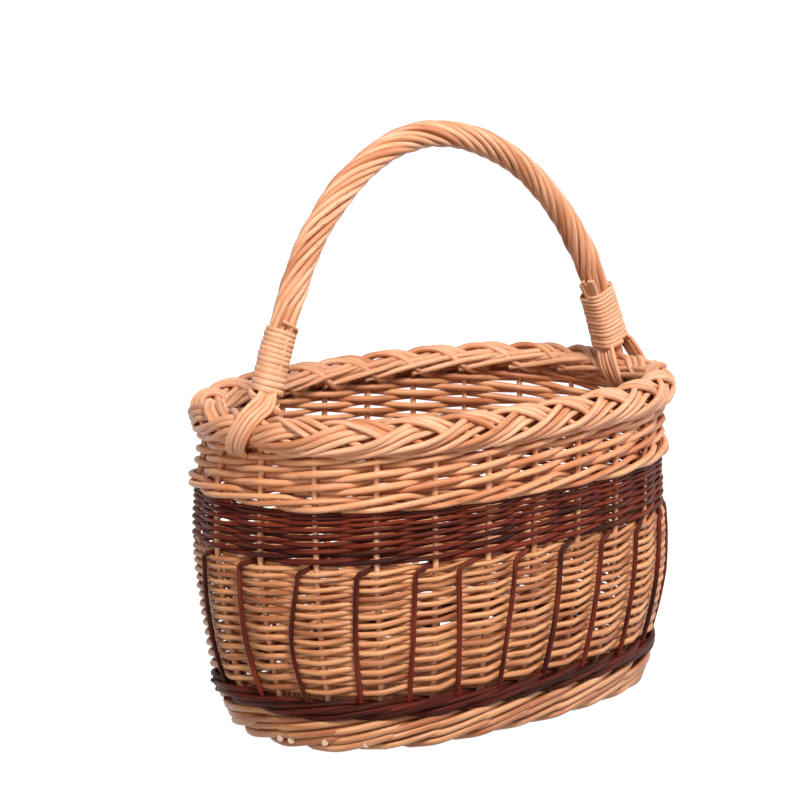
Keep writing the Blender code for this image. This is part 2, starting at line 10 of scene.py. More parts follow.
import bpy
import numpy as np
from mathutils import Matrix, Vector


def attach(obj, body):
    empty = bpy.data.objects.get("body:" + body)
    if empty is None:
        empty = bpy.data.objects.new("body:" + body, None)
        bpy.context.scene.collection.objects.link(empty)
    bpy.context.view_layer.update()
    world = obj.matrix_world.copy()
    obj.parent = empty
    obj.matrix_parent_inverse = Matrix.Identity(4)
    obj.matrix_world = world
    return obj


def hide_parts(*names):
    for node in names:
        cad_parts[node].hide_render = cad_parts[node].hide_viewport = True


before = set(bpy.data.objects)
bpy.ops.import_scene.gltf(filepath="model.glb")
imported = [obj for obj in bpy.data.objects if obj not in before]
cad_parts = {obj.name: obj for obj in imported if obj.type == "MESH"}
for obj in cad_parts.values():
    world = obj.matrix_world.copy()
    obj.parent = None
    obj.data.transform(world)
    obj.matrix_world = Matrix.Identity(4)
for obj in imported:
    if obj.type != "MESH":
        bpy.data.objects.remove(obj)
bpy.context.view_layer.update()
chance = np.random.default_rng(20)


# Base: an oval of sticks, three long ones through five slit cross sticks, with thin peeled
# rods twined round them in pairs from the middle out. It closes the basket inside the foot
# and is hidden from the side.

STAKES = 23
STAKE_PHASE = 0.93                          # where the first stake stands, from the +X end
OVAL_EXPONENT = 2.48                        # 2 is an ellipse, more is squarer
LINE_HALF = np.array([0.1885, 0.1185])      # half length and half width of the stakes' line
FLARE, FLARE_TOP = 0.0275, 0.143            # how far the wall leans out, and up to where
LEFT_END, SKEW, SKEW_REACH = 10.57, 0.18, 2.0       # stakes near the left end lean low down
WALL_STEP = 0.2                             # stakes to each side that the way out is taken from
UP = np.array([0.0, 0.0, 1.0])

SHARES = np.linspace(0, 1, 1441)
INSETS = np.linspace(0, FLARE, 12)


def oval(angle):
    """Points of the basket's oval, with half sizes of 1, at angles."""
    turned = np.stack([np.cos(angle), np.sin(angle)], -1)
    return np.sign(turned) * np.abs(turned) ** (2 / OVAL_EXPONENT)


def oval_table():
    """Points of the stakes' line at even shares of its length, for each inset."""
    unit_oval = oval(np.linspace(0, 2 * math.pi, 5761))
    table = []
    for inset in INSETS:
        points = unit_oval * (LINE_HALF - inset)
        run = np.append(0, np.cumsum(np.linalg.norm(np.diff(points, axis=0), axis=1)))
        table.append(np.stack([np.interp(SHARES * run[-1], run, points[:, i]) for i in (0, 1)], -1))
    return np.array(table)


OVALS = oval_table()


def wall_line(position, height):
    """Points of the stakes' line, x and y, at positions and heights."""
    from_end = (np.mod(position, STAKES) - LEFT_END) / SKEW_REACH
    skew = SKEW * np.exp(-from_end ** 2) * (1 - np.clip(height / FLARE_TOP, 0, 1))
    share = np.mod((position + skew + STAKE_PHASE) / STAKES, 1) * (len(SHARES) - 1)
    inset = (1 - np.clip(height / FLARE_TOP, 0, 1)) ** 2 * (len(INSETS) - 1)
    low = np.minimum(share.astype(int), len(SHARES) - 2)
    layer = np.minimum(inset.astype(int), len(INSETS) - 2)
    across, up = (share - low)[..., None], (inset - layer)[..., None]
    near = OVALS[layer, low] * (1 - across) + OVALS[layer, low + 1] * across
    far = OVALS[layer + 1, low] * (1 - across) + OVALS[layer + 1, low + 1] * across
    return near * (1 - up) + far * up


def stakes_from(place, position):
    """How many stakes positions lie from a place, the short way round."""
    return np.mod(position - place + STAKES / 2, STAKES) - STAKES / 2


# at two corners the wall is fuller: at a position, how far out at each of the heights
FULLER_HEIGHTS = (0, 0.02, 0.045, 0.09, 0.125, 0.15, 0.192, 0.206, 0.23)
FULLER = ((9.3, (-0.003, 0, 0.0046, 0.0036, 0.0050, 0.0065, 0.0058, 0.002, 0)),
          (20.8, (0.005, 0.005, 0.0058, 0.0058, 0.0032, 0.0008, 0, 0, 0)))
FULLER_REACH = 1.7


def fuller(position, height):
    """How far the wall stands out of its line at the two fuller corners."""
    return sum(np.interp(height, FULLER_HEIGHTS, outs)
               * np.exp(-(stakes_from(corner, position) / FULLER_REACH) ** 2)
               for corner, outs in FULLER)


def wall(position, height, out=0.0):
    """Points in the wall, out from the stakes' line, and the way out at each."""
    position, height, out = np.broadcast_arrays(np.asarray(position, float), height, out)
    out = out + fuller(position, height)
    along = wall_line(position + WALL_STEP, height) - wall_line(position - WALL_STEP, height)
    along /= np.linalg.norm(along, axis=-1, keepdims=True)
    outward = np.stack([along[..., 1], -along[..., 0], np.zeros_like(out)], -1)
    flat = wall_line(position, height)
    points = np.stack([flat[..., 0], flat[..., 1], height], -1) + outward * out[..., None]
    return points, outward


def glide(times, keys, values):
    """Values at times, on a smooth curve through the keyed values."""
    keys, values = np.asarray(keys, float), np.asarray(values, float)
    slopes = np.gradient(values, keys, axis=0)
    low = np.clip(np.searchsorted(keys, times, side="right") - 1, 0, len(keys) - 2)
    step = keys[low + 1] - keys[low]
    share = np.clip((times - keys[low]) / step, 0, 1)
    if values.ndim > 1:
        share, step = share[..., None], step[..., None]
    before, after = values[low], values[low + 1]
    bend = share * (1 - share)
    return (before + (after - before) * share * share * (3 - 2 * share)
            + step * bend * ((1 - share) * slopes[low] - share * slopes[low + 1]))


def wobble(rods, times, size, pace=1.0):
    """A slow random drift along each rod, as hand work has, with a new turn at each pace."""
    knots = np.arange(math.floor(times.min() / pace), math.ceil(times.max() / pace) + 2)
    return np.array([glide(times / pace, knots, chance.normal(0, size, len(knots)))
                     for _ in range(rods)])


def unit(vectors):
    """Vectors in the same directions with a length of 1."""
    return vectors / np.maximum(np.linalg.norm(vectors, axis=-1, keepdims=True), 1e-12)


def sweep(paths, radii, facing, flat=1.0, sides=8, tones=None):
    """Round rods along paths, as arrays of vertices, faces, grain, tone and cut.

    paths is rods by points by 3. facing points away from what the rod lies on, and flat is
    the rod's thickness that way as a share of its width. grain holds the place round and
    along the rod, tone a number for each rod, and cut is 1 on the rod's cut ends.
    """
    paths = np.asarray(paths, float)
    rods, points = paths.shape[:2]
    radii = np.broadcast_to(radii, (rods, points))
    facing = np.broadcast_to(facing, paths.shape)
    tangent = unit(np.gradient(paths, axis=1))
    normal = unit(facing - (facing * tangent).sum(-1, keepdims=True) * tangent)
    side = np.cross(tangent, normal)
    turn = 2 * math.pi * np.arange(sides) / sides
    cosine, sine = np.cos(turn), np.sin(turn)
    ring = normal[:, :, None] * (cosine * flat)[:, None] + side[:, :, None] * sine[:, None]
    verts = paths[:, :, None] + radii[:, :, None, None] * ring
    run = np.cumsum(np.linalg.norm(np.diff(paths, axis=1, prepend=paths[:, :1]), axis=-1), axis=1)
    grain = np.stack(np.broadcast_arrays(cosine, sine, run[:, :, None]), -1)
    index = np.arange(rods * points * sides).reshape(rods, points, sides)
    after = np.roll(index, -1, axis=2)
    quads = np.stack([index[:, :-1], after[:, :-1], after[:, 1:], index[:, 1:]], -1).reshape(-1, 4)
    count = verts.size // 3
    ends = np.concatenate([verts[:, 0, ::-1], verts[:, -1]]).reshape(-1, 3)
    caps = count + np.arange(2 * rods * sides).reshape(-1, sides)
    end_grain = np.concatenate([grain[:, 0, ::-1], grain[:, -1]]).reshape(-1, 3)
    tones = chance.random(rods) if tones is None else np.asarray(tones, float)
    end_tones = np.tile(np.repeat(tones, sides), 2)
    return {"verts": np.concatenate([verts.reshape(-1, 3), ends]),
            "faces": quads.tolist() + caps.tolist(),
            "grain": np.concatenate([grain.reshape(-1, 3), end_grain]),
            "tone": np.concatenate([np.repeat(tones, points * sides), end_tones]),
            "cut": np.repeat([0.0, 1.0], [count, 2 * rods * sides])}


def rods_object(name, bundles, material, slot, *nodes):
    """One named piece from swept rods, which stands for its CAD nodes."""
    faces, start = [], 0
    for bundle in bundles:
        faces += [[corner + start for corner in face] for face in bundle["faces"]]
        start += len(bundle["verts"])
    mesh = bpy.data.meshes.new(name)
    mesh.from_pydata(np.concatenate([b["verts"] for b in bundles]).tolist(), [], faces)
    for key, kind, field in (("grain", "FLOAT_VECTOR", "vector"), ("tone", "FLOAT", "value"),
                             ("cut", "FLOAT", "value")):
        values = np.concatenate([b[key] for b in bundles]).astype(np.float32)
        mesh.attributes.new(key, kind, "POINT").data.foreach_set(field, values.ravel())
    mesh.shade_smooth()
    mesh.materials.append(material)
    piece = bpy.data.objects.new(name, mesh)
    bpy.context.scene.collection.objects.link(piece)
    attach(piece, "root")
    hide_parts(*nodes)
    return piece


def add_node(tree, kind, **settings):
    """A shader node. Settings that name an input set it or link it, the others are its own."""
    made = tree.nodes.new(kind)
    for key, value in settings.items():
        if key.startswith("in_"):
            socket = made.inputs[int(key[3:]) if key[3:].isdigit() else key[3:].replace("_", " ")]
            if isinstance(value, bpy.types.NodeSocket):
                tree.links.new(value, socket)
            else:
                socket.default_value = value
        else:
            setattr(made, key, value)
    return made


def mix_colour(tree, share, first, second, blend="MIX"):
    """The first colour with a share of the second."""
    return add_node(tree, "ShaderNodeMix", data_type="RGBA", blend_type=blend, in_0=share,
                    in_6=first, in_7=second).outputs[2]


def ramp(tree, value, low, high):
    """A share that grows from 0 at low to 1 at high."""
    return add_node(tree, "ShaderNodeMapRange", interpolation_type="SMOOTHSTEP", in_0=value,
                    in_1=low, in_2=high).outputs[0]


def times_plus(tree, value, factor, added):
    """A value times a factor, and another value added."""
    return add_node(tree, "ShaderNodeMath", operation="MULTIPLY_ADD", in_0=value, in_1=factor,
                    in_2=added).outputs[0]


# noise in a rod: its stretch round and along the rod, scale, detail and roughness
STREAKS = ((0.9, 0.9, 22.0), 1.7, 3.0, 0.55)
BLOTCHES = ((0.3, 0.3, 16.0), 1.0, 2.0, 0.55)
FIBRES = ((5.0, 5.0, 45.0), 2.2, 3.0, 0.6)
KNOTS = ((0.8, 0.8, 55.0), 1.3, 1.0, 0.55)
TONE_SHIFT = 61.0                   # moves each rod to a noise of its own
TONE_DEPTH = 0.34                   # how much a rod's tone adds to its blotches
# the noise at which each pattern starts, and that at which it is full
STREAK_RANGE, BLOTCH_RANGE = (0.34, 0.66), (0.58, 0.95)
FIBRE_RANGE, KNOT_RANGE = (0.2, 0.8), (0.70, 0.76)
FIBRE_LIGHT, FIBRE_DARK = 0.22, 0.86        # brightness that fibres add, and the least
KNOT_SHARE, KNOT_COLOUR = 0.55, (0.10, 0.035, 0.015, 1)
FIBRE_ROUGH, LEAST_ROUGH = 0.3, 0.28
STREAK_RELIEF, BUMP_STRENGTH, BUMP_HEIGHT = 0.6, 0.35, 0.0006


def willow_group():
    """Colour, roughness and bump of a willow rod: long streaks, blotches, fibres and knots."""
    group = bpy.data.node_groups.new("willow_rod", "ShaderNodeTree")
    face = group.interface
    for label in ("Pale", "Middle", "Deep", "Cut"):
        face.new_socket(label, in_out="INPUT", socket_type="NodeSocketColor")
    for label, kind in (("Color", "Color"), ("Roughness", "Float"), ("Normal", "Vector")):
        face.new_socket(label, in_out="OUTPUT", socket_type="NodeSocket" + kind)
    given = group.nodes.new("NodeGroupInput").outputs
    result = group.nodes.new("NodeGroupOutput").inputs
    grain = add_node(group, "ShaderNodeAttribute", attribute_name="grain").outputs["Vector"]
    tone = add_node(group, "ShaderNodeAttribute", attribute_name="tone").outputs["Fac"]
    cut = add_node(group, "ShaderNodeAttribute", attribute_name="cut").outputs["Fac"]
    apart = add_node(group, "ShaderNodeMath", operation="MULTIPLY", in_0=tone,
                     in_1=TONE_SHIFT).outputs[0]

    def noise(stretch, scale, detail, rough):
        spread = add_node(group, "ShaderNodeVectorMath", operation="MULTIPLY_ADD", in_0=grain,
                          in_1=stretch, in_2=apart).outputs[0]
        return add_node(group, "ShaderNodeTexNoise", in_Vector=spread, in_Scale=scale,
                        in_Detail=detail, in_Roughness=rough).outputs["Fac"]

    streaks, blotches, fibres, knots = [noise(*kind) for kind in (STREAKS, BLOTCHES, FIBRES, KNOTS)]
    pale = ramp(group, streaks, *STREAK_RANGE)
    colour = mix_colour(group, pale, given["Middle"], given["Pale"])
    deep = ramp(group, times_plus(group, tone, TONE_DEPTH, blotches), *BLOTCH_RANGE)
    colour = mix_colour(group, deep, colour, given["Deep"])
    shade = times_plus(group, ramp(group, fibres, *FIBRE_RANGE), FIBRE_LIGHT, FIBRE_DARK)
    grey = add_node(group, "ShaderNodeCombineColor", in_0=shade, in_1=shade, in_2=shade).outputs[0]
    colour = mix_colour(group, 1.0, colour, grey, "MULTIPLY")
    spot = add_node(group, "ShaderNodeMath", operation="MULTIPLY", in_1=KNOT_SHARE,
                    in_0=ramp(group, knots, *KNOT_RANGE)).outputs[0]
    colour = mix_colour(group, spot, colour, KNOT_COLOUR)
    colour = mix_colour(group, cut, colour, given["Cut"])
    group.links.new(colour, result["Color"])
    group.links.new(times_plus(group, fibres, FIBRE_ROUGH, LEAST_ROUGH), result["Roughness"])
    relief = times_plus(group, streaks, STREAK_RELIEF, fibres)
    bump = add_node(group, "ShaderNodeBump", in_Strength=BUMP_STRENGTH, in_Distance=BUMP_HEIGHT,
                    in_Height=relief)
    group.links.new(bump.outputs[0], result["Normal"])
    return group


WILLOW = willow_group()
COAT_ROUGHNESS = 0.42


def willow(name, pale, middle, deep, cut, gloss=0.35, coat=0.2):
    """A willow finish for a group of rods. The peeled ones and the darkest stained one are copies
    of one willow each, brightened by painted light and darkened by painted shade.
    """
    material = bpy.data.materials.new(name)
    material.use_nodes = True
    tree = material.node_tree
    shader = tree.nodes["Principled BSDF"]
    shader.inputs["Specular IOR Level"].default_value = gloss
    shader.inputs["Coat Weight"].default_value = coat
    shader.inputs["Coat Roughness"].default_value = COAT_ROUGHNESS
    rod = add_node(tree, "ShaderNodeGroup", node_tree=WILLOW)
    for label, colour in (("Pale", pale), ("Middle", middle), ("Deep", deep), ("Cut", cut)):
        rod.inputs[label].default_value = (*colour, 1)
    for label, target in (("Color", "Base Color"), ("Roughness", "Roughness"),
                          ("Normal", "Normal")):
        tree.links.new(rod.outputs[label], shader.inputs[target])
    return material


CUT_WOOD = (0.78, 0.60, 0.42)
# The peeled finishes are one willow in four brightnesses, with light and shade painted in: painted
# light on the stakes, border, handle, bindings and tails, painted half shade on the upper wale and
# top band, painted shade on the foot, and the deepest painted shade in the weave of the base and
# the light wall.
WEAVE_SHADE_WILLOW = willow("peeled_willow", (0.72, 0.35, 0.16), (0.54, 0.190, 0.062), (0.30, 0.076, 0.019),
                CUT_WOOD)
PAINTED_LIGHT_WILLOW = willow("pale_willow", (0.82, 0.45, 0.265), (0.71, 0.307, 0.147), (0.54, 0.190, 0.074),
              (0.66, 0.42, 0.25))
HALF_SHADE_WILLOW = willow("half_shade_willow", (0.79, 0.39, 0.195), (0.67, 0.265, 0.108), (0.50, 0.155, 0.055),
              CUT_WOOD)
SHADED = willow("shaded_willow", (0.74, 0.385, 0.19), (0.58, 0.225, 0.085), (0.36, 0.100, 0.028),
                (0.66, 0.45, 0.31))

BASE_MIDDLE = 0.016                             # height of the sticks' middle
BASE_EDGE = np.array([0.1590, 0.0895])          # half length and half width of the last round
SLATH = np.array([0.076, 0.0005])               # and of the line that the rounds start from
CROSS_STICK, CROSS_HALF, CROSS_FLAT = 0.0060, 0.0865, 0.95  # thickness, half length, flatness
LONG_STICK, LONG_HALF, LONG_FLAT = 0.0046, 0.1545, 0.9
CROSS_AT = 0.095 * np.linspace(-1, 1, 5)
LONG_AT = 0.030 * np.linspace(-1, 1, 3)
FAN_FROM, FAN_OUT = 0.55, 0.55                  # the long sticks spread from here, by this share
TWINE, TWINE_PITCH, TWINE_WAVE = 0.0034, 0.0036, 0.9
SPOKES = 16                                     # sticks' ends that a round of twining passes


def make_base():
    """The sticks, and the pairs of rods twined round them."""
    cross = np.array([[(x, y, BASE_MIDDLE) for y in np.linspace(-CROSS_HALF, CROSS_HALF, 8)]
                      for x in CROSS_AT])
    inside = (1 - (np.abs(CROSS_AT) / BASE_EDGE[0]) ** OVAL_EXPONENT)[:, None]
    cross[:, :, 1] *= inside ** (1 / OVAL_EXPONENT)
    along = np.linspace(-1, 1, 24)
    spread = 1 + FAN_OUT * np.clip((np.abs(along) - FAN_FROM) / (1 - FAN_FROM), 0, 1)
    long = np.array([[(x, y * s, BASE_MIDDLE) for x, s in zip(LONG_HALF * along, spread)]
                     for y in LONG_AT])
    bundles = [sweep(cross, CROSS_STICK / 2, UP, CROSS_FLAT),
               sweep(long, LONG_STICK / 2, UP, LONG_FLAT)]
    rounds = int((BASE_EDGE[1] - SLATH[1]) / TWINE_PITCH)
    turned = np.linspace(0, 1, 16 * SPOKES + 1)
    for number in range(rounds):
        share = (number + 0.5) / rounds
        flat = oval(2 * math.pi * turned) * (SLATH + (BASE_EDGE - SLATH) * share)
        for pair in (1, -1):
            swing = pair * np.cos(math.pi * SPOKES * turned) * (1 if number % 2 else -1)
            rise = BASE_MIDDLE + swing * (CROSS_STICK + TWINE) / 2 * TWINE_WAVE
            path = np.concatenate([flat, rise[:, None]], axis=1)[None]
            bundles.append(sweep(path, TWINE / 2, UP, sides=6))
    return rods_object("base", bundles, WEAVE_SHADE_WILLOW, "peeled_willow", "base_sticks", "base_weave")


make_base()


# Stakes: twenty-three upright peeled rods that the whole wall is woven round. Their feet
# stand in the foot's waling, and their tops bend over and become the border.

STAKE_RADIUS, STAKE_TAPER = 0.0025, (1.03, 0.9)
STAKE_FOOT, STAKE_TOP, STAKE_POINTS = 0.004, 0.234, 40
STAKE_OUT, OUT_FROM, OUT_OVER = 0.0008, 0.138, 0.01     # they stand further out higher up
STAKE_NODES = ["stake_%02d" % number for number in range(1, STAKES + 1)]


def make_stakes():
    heights = np.linspace(STAKE_FOOT, STAKE_TOP, STAKE_POINTS)
    positions = np.arange(STAKES)[:, None] + wobble(STAKES, heights, size=0.012, pace=0.05)
    out = STAKE_OUT * np.clip((heights - OUT_FROM) / OUT_OVER, 0, 1)
    paths, outward = wall(positions, heights, out)
    taper = np.linspace(*STAKE_TAPER, STAKE_POINTS)
    radii = STAKE_RADIUS * chance.normal(1, 0.04, (STAKES, 1)) * taper
    return rods_object("stakes", [sweep(paths, radii, outward)], PAINTED_LIGHT_WILLOW, "pale_willow", *STAKE_NODES)


make_stakes()


# Foot: three rows of thick peeled rods waled round the stakes' feet. Three rods take turns
# to pass in front of two stakes and behind the third, so the row looks like a rope.

WALE_RODS, WALE_STEP, WALE_PAST = 3, 1 / 12, 1.01       # it runs this many stakes past its start
# over three stakes: how far a rod stands out, in half thicknesses, and up, in thicknesses
WALE_PHASES = (0, 0.5, 1, 1.5, 2, 2.5, 3)
WALE_SWINGS = (0, 1, 1.12, 1, 0, -1, 0)
WALE_CLIMBS = (-0.85, -0.66, 0, 0.66, 0.85, 0, -0.85)
ROD_DRIFT = 0.0003
FLOOR_GAP = 0.0001


def wale(first, laps, low, high, thick, thin, out):
    """Rods of a wale that climbs from low to high, the middle heights of its rows.

    thick and thin are the rods' diameters at the bottom and at the top.
    """
    end = STAKES * laps
    run = np.arange(0, end + WALE_PAST, WALE_STEP)
    position = first + np.arange(WALE_RODS)[:, None] + run
    phase = np.mod(run, WALE_RODS)
    swing = glide(phase, WALE_PHASES, WALE_SWINGS)
    climb = glide(phase, WALE_PHASES, WALE_CLIMBS)
    share = np.clip(run / end, 0, 1)
    uneven = 1 + wobble(WALE_RODS, run, size=0.05, pace=7)
    thickness = (thick + (thin - thick) * share) * uneven
    height = low + (high - low) * share + climb * thickness + wobble(WALE_RODS, run, ROD_DRIFT)
    height = np.maximum(height, thickness / 2 + FLOOR_GAP)
    offset = out + swing * (STAKE_RADIUS + thickness / 2) + wobble(WALE_RODS, run, ROD_DRIFT)
    paths, outward = wall(position, height, offset)
    return sweep(paths, thickness / 2, outward, sides=10)


def stubs(places, radius, inner, outer, rise=0.0):
    """Short ends of rods that come out of the weave, from inner to outer offset.

    A place is a position, a height, and the stakes that the end leans along the wall.
    """
    share = np.linspace(0, 1, 5)
    places = np.array(places)
    position = places[:, :1] + places[:, 2:] * (share - 1)
    height = places[:, 1:2] + rise * (share - 1)
    paths, outward = wall(position, height, inner + (outer - inner) * share)
    return sweep(paths, radius, outward + UP, sides=12)


FOOT_ENDS = ((10.93, 0.0110, 0.1), (11.17, 0.0110, 0.1), (11.83, 0.0125, 0.1),
             (12.57, 0.0112, 0.1), (20.70, 0.0125, -0.4))


def make_foot():
    ends = stubs(FOOT_ENDS, radius=0.0025, inner=0.003, outer=0.0117)
    row = wale(first=-0.5, laps=3, low=0.0086, high=0.0262, thick=0.0062, thin=0.0052, out=0.0022)
    return rods_object("foot", [row, ends], SHADED, "pale_willow", "foot_wale")


make_foot()


# Lower wale: two rows of willow stained dark red-brown, waled above the foot, with painted
# shade making them darker still. The dark upright rods are pushed down into it.

STAINED_CUT = (0.42, 0.20, 0.10)
STAINED = willow("stained_willow", (0.200, 0.030, 0.012), (0.105, 0.013, 0.006),
                 (0.030, 0.005, 0.003), STAINED_CUT, gloss=0.10, coat=0.0)
# a darker copy of the stained willow, with painted shade, for the lower wale low under the light
# wall
STAINED_PAINTED_SHADE = willow("stained_willow_painted_shade", (0.105, 0.015, 0.007), (0.052, 0.007, 0.004),
                 (0.017, 0.003, 0.002), STAINED_CUT, gloss=0.08, coat=0.0)
DARK_ENDS = ((9.15, 0.0385, -0.35), (9.25, 0.0330, -0.35), (9.60, 0.0300, -0.35))


def make_lower_wale():
    ends = stubs(DARK_ENDS, radius=0.0018, inner=0.004, outer=0.0098, rise=-0.001)
    row = wale(first=0.5, laps=2, low=0.0340, high=0.0415, thick=0.0048, thin=0.0043, out=0.0026)
    return rods_object("lower_waling", [row, ends], STAINED_PAINTED_SHADE, "stained_willow", "lower_wale")


make_lower_wale()


# Light wall: French randing. One peeled rod starts behind each stake, and all of them go up
# one row at each stake, in front of one and behind the next, butts at the bottom and thin
# tips at the top.

TIGHT, TIGHT_END, TIGHT_REACH = 0.35, 20.4, 2.2     # the weave lies flatter near the right end
TIGHT_THICKER = 0.3                                 # and its rods are thicker there
RAND_BEFORE, RAND_SHORT = 0.42, 0.57                # stakes before its first, short of its last
RAND_STEP = 1 / 14
WAVE_ROUND = 0.30                                   # the rest of a rod's wave is a zigzag
WAVE_RADIUS, WAVE_THICKER = 0.97, 0.06              # a rod looks thicker in front of a stake
DIP_LESS, DIP_POWER = 0.5, 1.5                      # it dips less at the top, and in a curve
RAND_SLACK = -0.0004                                # between rods and stakes
RAND_FLAT = 0.9


def rand(first, levels, low, high, taper, thick, thin, dip=0.0012):
    """Positions, heights, offsets and radii of randing rods, one from each stake.

    taper is the pitch of the top rows as a share of the bottom ones', and dip is how far the
    rods are knocked down in front of a stake.
    """
    times = np.arange(-RAND_BEFORE, levels - RAND_SHORT, RAND_STEP)
    share = np.clip(times / (levels - 1), 0, 1)
    climbed = 2 / (1 + taper) * (share - (1 - taper) * share ** 2 / 2)
    round_wave = -np.cos(math.pi * times)
    zigzag = (2 / math.pi) * np.arcsin(np.clip(round_wave, -1, 1))
    wave = WAVE_ROUND * round_wave + (1 - WAVE_ROUND) * zigzag
    wave[times < 0] = -1
    if levels % 2:
        wave[times > levels - 1] = -1
    position = first + np.arange(STAKES)[:, None] + times + wobble(STAKES, times, size=0.015)
    uneven = 1 + wobble(STAKES, times, size=0.05, pace=6)
    radii = (thick + (thin - thick) * climbed) / 2 * uneven * (WAVE_RADIUS + WAVE_THICKER * wave)
    height = low + (high - low) * climbed + wobble(STAKES, times, ROD_DRIFT)
    height = height - dip * (1 - DIP_LESS * share) * np.maximum(wave, 0) ** DIP_POWER
    near = np.exp(-((np.mod(position, STAKES) - TIGHT_END) / TIGHT_REACH) ** 2)
    radii = radii * (1 + TIGHT_THICKER * TIGHT * near)
    offset = wave * (STAKE_RADIUS + radii + RAND_SLACK) * (1 - TIGHT * near)
    return position, height, offset + wobble(STAKES, times, size=0.00020, pace=0.5), radii


def make_light_wall():
    position, height, offset, radii = rand(first=0, levels=29, low=0.0474, high=0.1436,
                                           taper=0.68, thick=0.0048, thin=0.0036)
    paths, outward = wall(position, height, offset)
    return rods_object("light_weave", [sweep(paths, radii, outward, RAND_FLAT)], WEAVE_SHADE_WILLOW,
                       "peeled_willow", "light_wall")


make_light_wall()


# Dark rods and dark band: one stained rod in each bay is pushed into the lower wale, stands
# outside the light wall, turns right at its top and is randed on as the dark band.

SPACING = 0.0448                            # from stake to stake, along the rim
UPRIGHT_FOOT, UPRIGHT_TOP, UPRIGHT_POINTS = 0.034, 0.1365, 33
UPRIGHT_OUT, UPRIGHT_BOW, UPRIGHT_RADIUS = 0.0048, 0.0004, 0.0019
TURN_RADIUS, TURN_ANGLES = 0.0055, np.radians([20, 45, 68, 88])
UNDER_SHARES = np.array([0.30, 0.55, 0.80])     # of the way on from the turn to the randing
WOVEN_FROM = 6                              # the randing's first points, which the turn replaces
DARK_LEAN, DARK_FLAT = 0.25, 0.94
DARK_NODES = ["dark_rod_%02d" % number for number in range(1, STAKES + 1)]
# how far some uprights lean along the wall, in stakes, at their top, middle and foot
UPRIGHT_LEANS = {9: (0.20, 0.10, 0.25), 10: (0.12, 0.05, 0.20), 11: (0.22, 0.0, 0.14),
                 12: (0.13, 0.08, 0.06), 13: (0.11, 0.05, -0.05), 14: (-0.09, -0.11, -0.04),
                 15: (0.0, -0.08, -0.13), 16: (0.0, -0.02, -0.09), 18: (0.05, 0.07, 0.10)}


def make_dark_weave():
    randed = rand(first=1, levels=16, low=0.1460, high=0.1840, taper=0.45, thick=0.0037,
                  thin=0.0025, dip=-0.0004)
    position, height, offset, radii = [values[:, WOVEN_FROM:] for values in randed]
    column = np.ones((STAKES, 1))
    climb = np.linspace(0, 1, UPRIGHT_POINTS, endpoint=False)
    leans = np.array([UPRIGHT_LEANS.get(bay, (0, 0, 0)) for bay in range(STAKES)])
    leans = leans + chance.normal(0, 0.015, leans.shape)
    lean = np.array([glide(climb, [0, 0.5, 1], given[::-1]) for given in leans])
    bay = np.arange(STAKES)[:, None] + 0.5 + lean
    upright = UPRIGHT_FOOT + (UPRIGHT_TOP - UPRIGHT_FOOT) * climb * column
    out = UPRIGHT_OUT + UPRIGHT_BOW * np.sin(climb * math.pi)[None]
    out = out + wobble(STAKES, climb, size=0.0002, pace=0.5)
    turned_to = bay[:, -1:] + TURN_RADIUS / SPACING * (1 - np.cos(TURN_ANGLES))
    turned_up = UPRIGHT_TOP + TURN_RADIUS * np.sin(TURN_ANGLES) * column
    turned_out = out[:, -1:] + 0 * turned_to
    under_to = turned_to[:, -1:] + (position[:, :1] - turned_to[:, -1:]) * UNDER_SHARES
    under_up = turned_up[:, -1:] + (height[:, :1] - turned_up[:, -1:]) * UNDER_SHARES
    under_out = turned_out[:, -1:] + (offset[:, :1] - turned_out[:, -1:]) * UNDER_SHARES ** 1.2
    before = UPRIGHT_POINTS + len(TURN_ANGLES) + len(UNDER_SHARES)
    thick = UPRIGHT_RADIUS * np.ones((STAKES, before)) * chance.normal(1, 0.06, (STAKES, 1))
    position = np.concatenate([bay, turned_to, under_to, position], axis=1)
    height = np.concatenate([upright, turned_up, under_up, height], axis=1)
    offset = np.concatenate([out, turned_out, under_out, offset], axis=1)
    radii = np.concatenate([thick, radii], axis=1)
    paths, outward = wall(position, height, offset)
    rods = sweep(paths, radii, outward + DARK_LEAN * UP, DARK_FLAT)
    return rods_object("dark_weave", [rods], STAINED, "stained_willow", "dark_band", *DARK_NODES)


make_dark_weave()


# Upper wale: one thick row of three peeled rods over the dark band. It stands out and holds
# the stakes apart.


def make_upper_wale():
    row = wale(first=-0.5, laps=1, low=0.1895, high=0.1915, thick=0.0048, thin=0.0046, out=0.0009)
    return rods_object("upper_waling", [row], HALF_SHADE_WILLOW, "pale_willow", "upper_wale")


make_upper_wale()


# Top band: more French randing of peeled rods, with small gaps, up to the border.


def make_top_band():
    position, height, offset, radii = rand(first=0, levels=9, low=0.1974, high=0.2350, taper=0.97,
                                           thick=0.0051, thin=0.0049, dip=-0.0014)
    paths, outward = wall(position, height, offset)
    return rods_object("top_weave", [sweep(paths, radii, outward, RAND_FLAT)], HALF_SHADE_WILLOW,
                       "peeled_willow", "top_band")


make_top_band()


# Border: a plait of the stakes' ends and added rods. From each stake three rods arch from
# inside over the top to the outside, go under the next two groups, run up along the outside
# and dive in again, where they are cut off.

BORDER_MIDDLE = 0.2375
BORDER_HALF = (0.0101, 0.0113)              # of its section, out and up
BORDER_ROD, BORDER_FLAT, BORDER_TAPER = 0.0049, 0.95, (1.04, 0.94)
BORDER_SIDE_BY_SIDE = 0.98                  # rods of a group lie this share of a rod apart
BORDER_CORE = 0.0036
BORDER_STEP = 1 / 14
# each rod's place in its group of three, and the stakes after which it is cut off
BORDER_GROUP = ((-1, 4.05), (0, 6.4), (1, 6.2))
